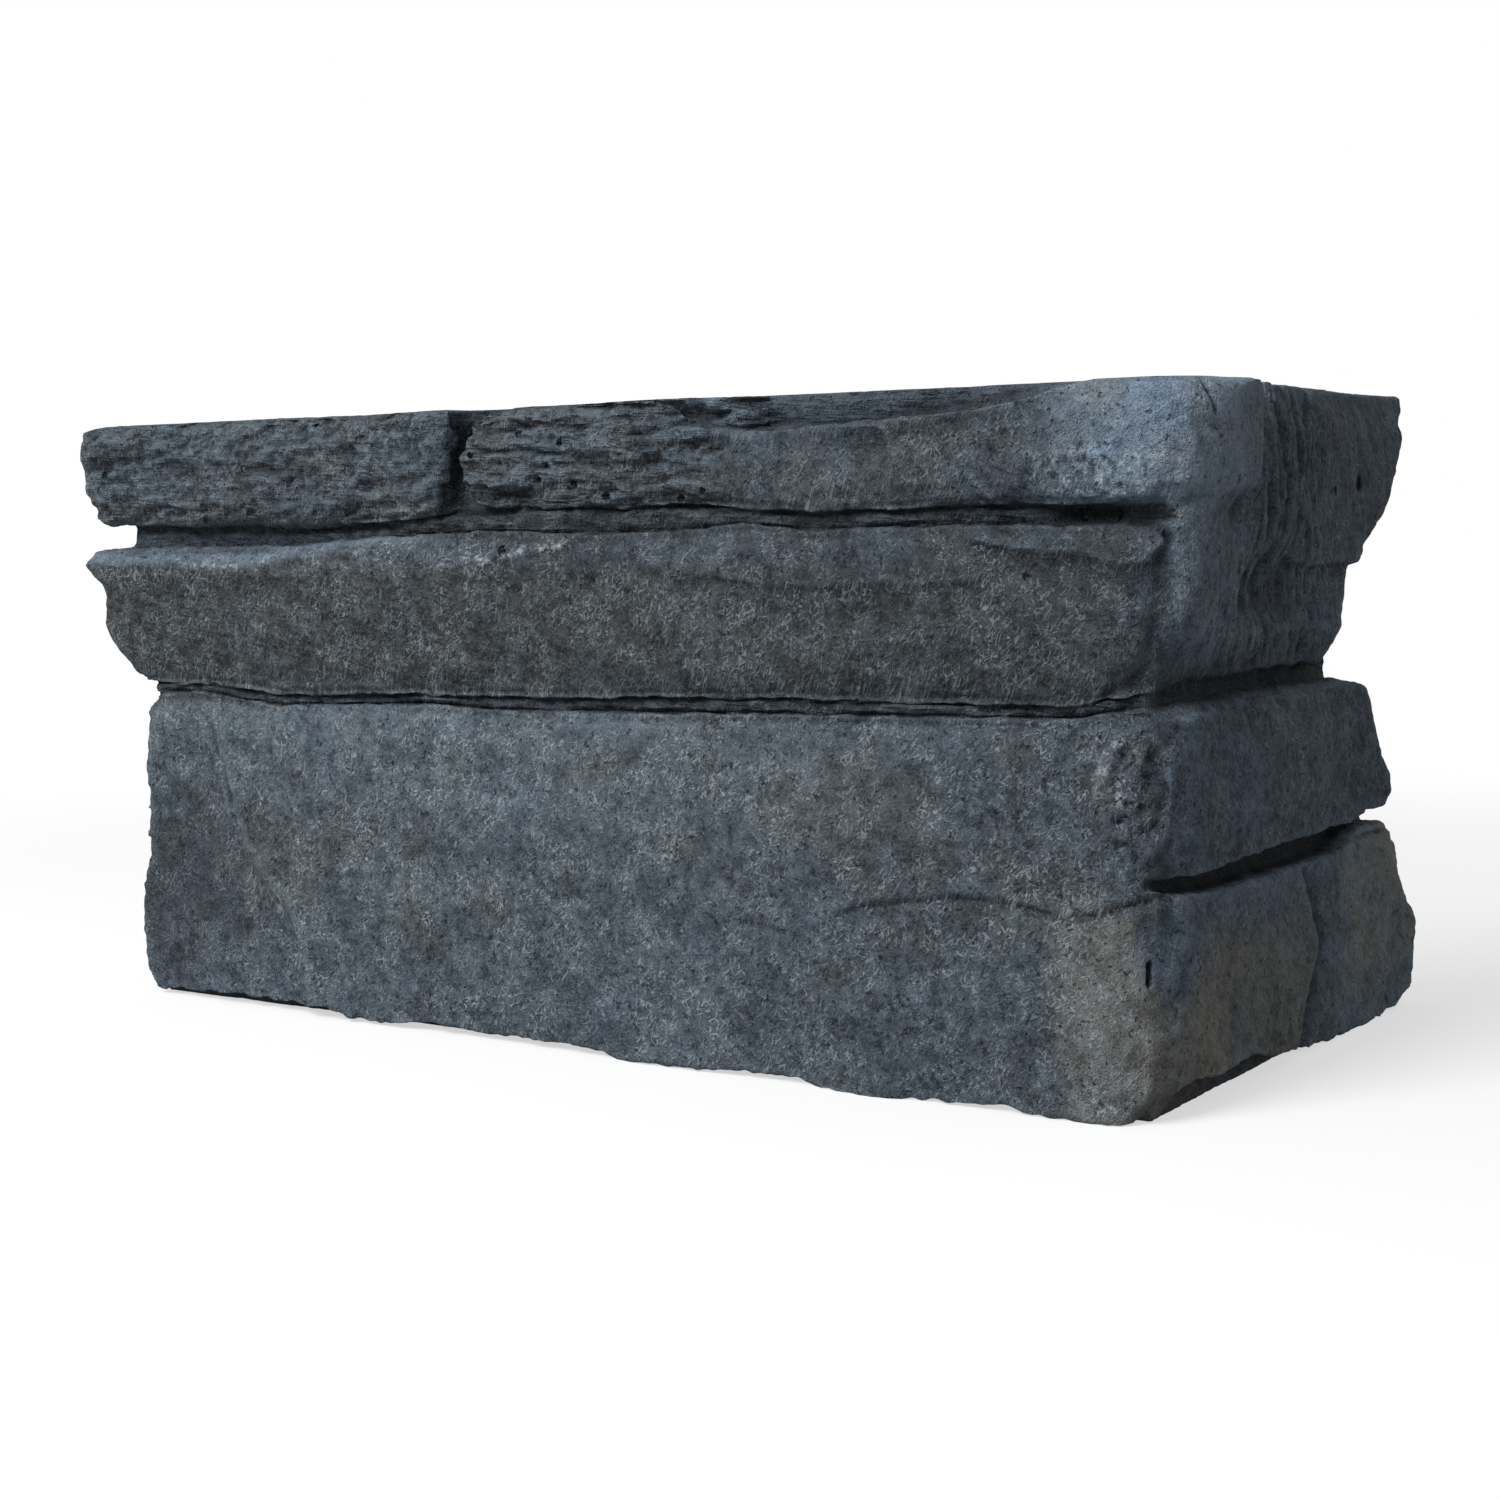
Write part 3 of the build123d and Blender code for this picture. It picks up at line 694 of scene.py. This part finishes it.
class Recipe:
    """One material's nodes, made by short calls."""

    def __init__(self, name, tree=None):
        if name:
            self.material = bpy.data.materials.new(name)
            self.material.use_nodes = True
            tree = self.material.node_tree
        self.tree = tree
        self.shader = tree.nodes.get("Principled BSDF")

    def feed(self, socket, value):
        """Sets a socket to a plain value or links it."""
        if isinstance(value, Amount):
            self.tree.links.new(value.socket, socket)
        elif hasattr(socket.default_value, "__len__") and len(socket.default_value) == 4 and len(value) == 3:
            socket.default_value = (*value, 1)
        else:
            socket.default_value = value

    def node(self, kind, settings, sockets, output=0):
        """A node of a kind, with its settings made first, and one of its outputs."""
        made = self.tree.nodes.new(kind)
        for name, value in settings.items():
            setattr(made, name, value)
        for name, value in sockets.items():
            self.feed(made.inputs[name], value)
        return Amount(self, made.outputs[output])

    def mask(self, name):
        """A mask painted on the mesh."""
        return self.node("ShaderNodeAttribute", {"attribute_name": name}, {}, "Fac")

    def tint(self, share, under, over, blend="MIX"):
        """One colour over another, by a share."""
        made = self.tree.nodes.new("ShaderNodeMix")
        made.data_type = "RGBA"
        made.blend_type = blend
        colours = [socket for socket in made.inputs if socket.type == "RGBA"]
        self.feed(made.inputs["Factor"], share)
        self.feed(colours[0], under)
        self.feed(colours[1], over)
        return Amount(self, next(socket for socket in made.outputs if socket.type == "RGBA"))

    def vector_maths(self, operation, vector, by):
        """Vector Math on a vector; a dot product gives a number."""
        output = "Value" if operation == "DOT_PRODUCT" else "Vector"
        return self.node("ShaderNodeVectorMath", {"operation": operation}, {0: vector, 1: by}, output)

    def white_for_camera(self):
        """1 where the camera looks, straight or in a reflection, and 0 for other light."""
        rays = [self.node("ShaderNodeLightPath", {}, {}, name)
                for name in ("Is Camera Ray", "Is Glossy Ray", "Is Transmission Ray")]
        return (rays[0] + rays[1] + rays[2]).clamped()

    def grain(self, place, size, detail=2.0, rough=0.5, twist=0.0):
        """Noise with grains of a size in millimetres, from 0 to 1."""
        sockets = {"Vector": place, "Scale": 1 / (size * MM), "Detail": detail, "Roughness": rough, "Distortion": twist}
        return self.node("ShaderNodeTexNoise", {}, sockets, "Fac")


CHARCOAL = (0.050, 0.067, 0.083)
BLUE_GREY = (0.060, 0.084, 0.115)
OLIVE_BROWN = (0.051, 0.058, 0.060)
TAN_GREY = (0.082, 0.080, 0.069)
FIBRE_GREY = (0.235, 0.272, 0.300)
CHALK = (0.400, 0.450, 0.500)
# Black of the painted shade in pores, cracks, bubble holes, joints and recesses
SHADE_BLACK = (0.010, 0.013, 0.018)
FIBRE_TURNS = (12, 58, 97, 149)


def drawn_out_noise(recipe, place, slope, turn, length, width, detail):
    """Noise drawn out to a length and width in millimetres along the wall, turned by so many degrees."""
    along = recipe.vector_maths("DOT_PRODUCT", place, (1, 1, 0))
    up = recipe.vector_maths("DOT_PRODUCT", place, (-slope, slope, 1))
    wall = recipe.node("ShaderNodeCombineXYZ", {}, {"X": along, "Y": up, "Z": 0.01 * turn})
    turned = recipe.node("ShaderNodeVectorRotate", {}, {"Vector": wall, "Angle": math.radians(turn)})
    stretched = recipe.vector_maths("MULTIPLY", turned, (1 / (length * MM), 1 / (width * MM), 1 / MM))
    sockets = {"Vector": stretched, "Scale": 1.0, "Detail": detail, "Roughness": 0.6}
    return recipe.node("ShaderNodeTexNoise", {}, sockets, "Fac")


def bug_holes(recipe, place):
    """1 in the small dark holes that air bubbles left in the cast face."""
    along = recipe.vector_maths("DOT_PRODUCT", place, (1, 1, 0))
    up = recipe.vector_maths("DOT_PRODUCT", place, (0, 0, HOLE_STRETCH))
    here = recipe.node("ShaderNodeCombineXYZ", {}, {"X": along, "Y": up})
    holes = 0
    for hole_along, height, radius in BUG_HOLES:
        middle = ((hole_along + CORNER[0] + CORNER[1]) * MM, height * HOLE_STRETCH * MM, 0)
        away = recipe.node("ShaderNodeVectorMath", {"operation": "DISTANCE"}, {0: here, 1: middle}, "Value")
        holes = away.ramped(radius * MM, 0.55 * radius * MM) + holes
    return holes.clamped()


def fibre_layer(recipe, place, length, width):
    """Short straight fibres lying on the skin in several directions, 1 on a fibre."""
    fibres = 0
    for turn in FIBRE_TURNS:
        fibres = drawn_out_noise(recipe, place, 0.6, turn, length, width, 1.0).ramped(0.60, 0.70) + fibres
    return fibres.clamped()


def charcoal_concrete():
    """Pigmented cast concrete: charcoal paste with short light-grey fibres, stained by patches, with painted light and
    shade.
    """
    recipe = Recipe("charcoal_concrete")
    place = recipe.node("ShaderNodeTexCoord", {}, {}, "Object")
    pale, warm, bluish_and_sky_tint = recipe.mask("pale"), recipe.mask("warm"), recipe.mask("bluish_and_sky_tint")
    dirt, chalk, fibrous = recipe.mask("dirt"), recipe.mask("chalk"), recipe.mask("fibrous")
    cloud = recipe.grain(place, 15, 3, 0.55)
    speckle = recipe.grain(place, 2.4, 3, 0.6)
    fine = recipe.grain(place, 0.7, 2, 0.6)
    colour = recipe.tint((cloud * 1.2 - 0.45 + warm * 0.9).clamped(), CHARCOAL, OLIVE_BROWN)
    # Partly a painted blue tint of the sky light on the return side.
    colour = recipe.tint((bluish_and_sky_tint * 0.8).clamped(), colour, BLUE_GREY)
    colour = recipe.tint((pale * warm * 0.9).clamped(), colour, TAN_GREY)
    # The last of these masks is painted shade mixed with darker tone.
    layered, fluted, slanted, deep = (recipe.mask(name) for name in ("layered", "fluted", "slanted", "deep"))
    bedding = drawn_out_noise(recipe, place, 0.0, 3, 9, 1.3, 3.0)
    flutes = drawn_out_noise(recipe, place, 0.0, 97, 16, 1.5, 3.0)
    strokes = drawn_out_noise(recipe, place, 0.3, 27, 5, 1.4, 3.0)
    mottle = recipe.grain(place, 6, 3, 0.6)
    drift = recipe.grain(place, 6, 2, 0.5).ramped(0.35, 0.65)
    fluted = fluted * (drift * 0.7 + 0.35)
    # Painted shade in the furrows and painted highlight on the raised edges of the bedding, flutes and strokes.
    groove_shade = (bedding.ramped(0.44, 0.33) * layered + flutes.ramped(0.44, 0.33) * fluted
               + strokes.ramped(0.46, 0.34) * slanted)
    ridge_highlight = (bedding.ramped(0.56, 0.68) * layered + flutes.ramped(0.56, 0.68) * fluted
              + strokes.ramped(0.55, 0.68) * slanted)
    tone = (speckle - 0.5) * 2.6 + (fine - 0.5) * 2.3 + (mottle - 0.5) * 1.0 + (cloud - 0.5) * 1.3
    # Lighter tone with painted light, and painted highlight on the raised edges of the bedding, flutes and strokes.
    tone = tone + pale * 1.1 + ridge_highlight * 0.7 + 0.89
    # Painted shade in hollows, and painted highlight on crests and rims.
    hollow, painted_highlight = recipe.mask("hollow"), recipe.mask("painted_highlight")
    # Painted highlight is added, then painted shade darkens by mask, by the bedding furrows and in hollows.
    tone = (tone + painted_highlight * 0.45) * (1 - deep * 0.45) * (1 - groove_shade * 0.6) * (1 - hollow * 0.6)
    colour = recipe.tint(1.0, colour, recipe.node("ShaderNodeCombineColor", {}, {0: tone, 1: tone, 2: tone}), "MULTIPLY")
    fibres = (fibre_layer(recipe, place, 2.6, 0.8) * 0.75 + fibre_layer(recipe, place, 1.7, 0.6) * 0.65).clamped()
    # Fibres show less where the painted shade lies.
    colour = recipe.tint((fibres * (drift * 0.75 + 0.2) * fibrous * (1 - deep * 0.4)).clamped(), colour, FIBRE_GREY)
    pores = recipe.grain(place, 1.3, 1, 0.5, 0.4).ramped(0.66, 0.74)
    cracks = drawn_out_noise(recipe, place, 0.0, 4, 26, 4.5, 4.0) - 0.5
    cracks = cracks.math("ABSOLUTE").ramped(0.016, 0.004) * recipe.grain(place, 9, 1, 0.5).ramped(0.48, 0.56)
    cracks = cracks * (layered * 0.9 + 0.1)
    holes = bug_holes(recipe, place)
    # Painted shade: pores, cracks and bubble holes are darkened toward black.
    colour = recipe.tint((pores * 0.6 + cracks * 0.8 + holes).clamped(), colour, SHADE_BLACK)
    crumbs = recipe.grain(place, 1.4, 2, 0.6).ramped(0.42, 0.6)
    colour = recipe.tint((chalk * crumbs).clamped(), colour, CHALK)
    # Painted shade in joints and recesses, mixed toward black.
    colour = recipe.tint((dirt * (speckle * 0.4 + 0.35)).clamped(), colour, SHADE_BLACK)
    recipe.feed(recipe.shader.inputs["Base Color"], colour)
    recipe.feed(recipe.shader.inputs["Roughness"], (speckle * 0.25 + 0.72).clamped())
    recipe.shader.inputs["Specular IOR Level"].default_value = 0.2
    relief = fine * 0.5 + speckle * 0.7 + fibres * 0.4 - pores + bedding * layered * 2.4 + flutes * fluted * 2.4
    relief = relief + strokes * slanted * 2.0 - cracks * 0.8 - holes * 1.5
    sockets = {"Strength": 1.0, "Distance": 0.8 * MM, "Height": relief}
    recipe.feed(recipe.shader.inputs["Normal"], recipe.node("ShaderNodeBump", {}, sockets, "Normal"))
    return recipe.material


casting = cast_mesh(frame["nodes"]["veneer_corner"])
sculpt(casting.data)
thin_out(casting)
paint_masks(casting.data)
casting.data.materials.clear()
casting.data.materials.append(charcoal_concrete())
casting.data.polygons.foreach_set("use_smooth", np.ones(len(casting.data.polygons), bool))
casting.data.set_sharp_from_angle(angle=math.radians(ARRIS_ANGLE))
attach(casting, "root")
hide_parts("veneer_corner")


# Studio

FLOOR_SIZE = 6.0
FLOOR_WHITE = (0.9, 0.9, 0.9)
FLOOR_GREY = (0.35, 0.35, 0.35)
GLOW = 0.6
SHADOW_REACH = (0.30, 0.62)
ROOM_LIGHT = 0.40


def pale_floor():
    """Plain white floor that keeps the object's shadow; beyond it, the camera sees even white."""
    half = FLOOR_SIZE / 2
    mesh = bpy.data.meshes.new("pale_floor")
    mesh.from_pydata([(-half, -half, 0), (half, -half, 0), (half, half, 0), (-half, half, 0)], [], [(0, 1, 2, 3)])
    floor = bpy.data.objects.new("pale_floor", mesh)
    bpy.context.scene.collection.objects.link(floor)
    recipe = Recipe("pale_floor_paint")
    seen = recipe.white_for_camera()
    recipe.feed(recipe.shader.inputs["Base Color"], recipe.tint(seen, FLOOR_GREY, FLOOR_WHITE))
    recipe.shader.inputs["Roughness"].default_value = 0.9
    recipe.shader.inputs["Specular IOR Level"].default_value = 0.0
    place = recipe.node("ShaderNodeTexCoord", {}, {}, "Object")
    away = recipe.node("ShaderNodeVectorMath", {"operation": "LENGTH"}, {0: place}, "Value").ramped(*SHADOW_REACH)
    white = recipe.node("ShaderNodeEmission", {}, {"Color": (1, 1, 1), "Strength": 1.0})
    paint = Amount(recipe, recipe.shader.outputs[0])
    share = seen * (away * (1 - GLOW) + GLOW)
    both = recipe.node("ShaderNodeMixShader", {}, {0: share, 1: paint, 2: white})
    recipe.feed(recipe.tree.nodes["Material Output"].inputs["Surface"], both)
    mesh.materials.append(recipe.material)


def soft_box(name, place, width, height, watts, target):
    """Area lamp aimed at a point."""
    lamp = bpy.data.lights.new(name, "AREA")
    lamp.shape = "RECTANGLE"
    lamp.size = width
    lamp.size_y = height
    lamp.energy = watts
    holder = bpy.data.objects.new(name, lamp)
    holder.location = place
    holder.rotation_euler = (Vector(target) - Vector(place)).to_track_quat("-Z", "Y").to_euler()
    bpy.context.scene.collection.objects.link(holder)
    return holder


def studio_world():
    """Even light from all round, and a white background for the camera."""
    world = bpy.data.worlds.new("studio_world")
    bpy.context.scene.world = world
    world.use_nodes = True
    recipe = Recipe(None, world.node_tree)
    room = recipe.node("ShaderNodeBackground", {}, {"Color": (1, 1, 1), "Strength": ROOM_LIGHT})
    backdrop = recipe.node("ShaderNodeBackground", {}, {"Color": (1, 1, 1), "Strength": 1.0})
    both = recipe.node("ShaderNodeMixShader", {}, {0: recipe.white_for_camera(), 1: room, 2: backdrop})
    recipe.feed(recipe.tree.nodes["World Output"].inputs["Surface"], both)


# The camera stands where the photograph was taken from: lens, direction in degrees and place from
# the casting's outer corner
PHOTO_PIXELS = 1500
FOCAL_PIXELS = 2435.4
SENSOR = 36.0
ELEVATION, ROLL = 5.625, -0.959
CAMERA_FROM_CORNER = (196.6, -445.9, 127.0)


def photo_camera():
    """Camera at the photograph's place and angle."""
    data = bpy.data.cameras.new("photo_camera")
    data.sensor_width = SENSOR
    data.lens = FOCAL_PIXELS / PHOTO_PIXELS * SENSOR
    data.clip_start = 0.01
    camera = bpy.data.objects.new("photo_camera", data)
    azimuth, elevation, roll = (math.radians(angle) for angle in (AZIMUTH, ELEVATION, ROLL))
    back = Vector((math.sin(azimuth) * math.cos(elevation), -math.cos(azimuth) * math.cos(elevation),
                   math.sin(elevation)))
    right = (-back).cross(Vector((0, 0, 1))).normalized()
    up = right.cross(-back)
    level = Matrix((right, up, back)).transposed()
    turned = level @ Matrix.Rotation(roll, 3, "Z")
    place = Vector((CORNER + np.array(CAMERA_FROM_CORNER)) * MM)
    camera.matrix_world = Matrix.Translation(place) @ turned.to_4x4()
    bpy.context.scene.collection.objects.link(camera)
    bpy.context.scene.camera = camera


pale_floor()
studio_world()
soft_box("key_softbox", (-0.25, -1.15, 0.95), 0.7, 0.7, 27, (0, 0, 0.08))
photo_camera()
bpy.context.scene.view_settings.view_transform = "Standard"
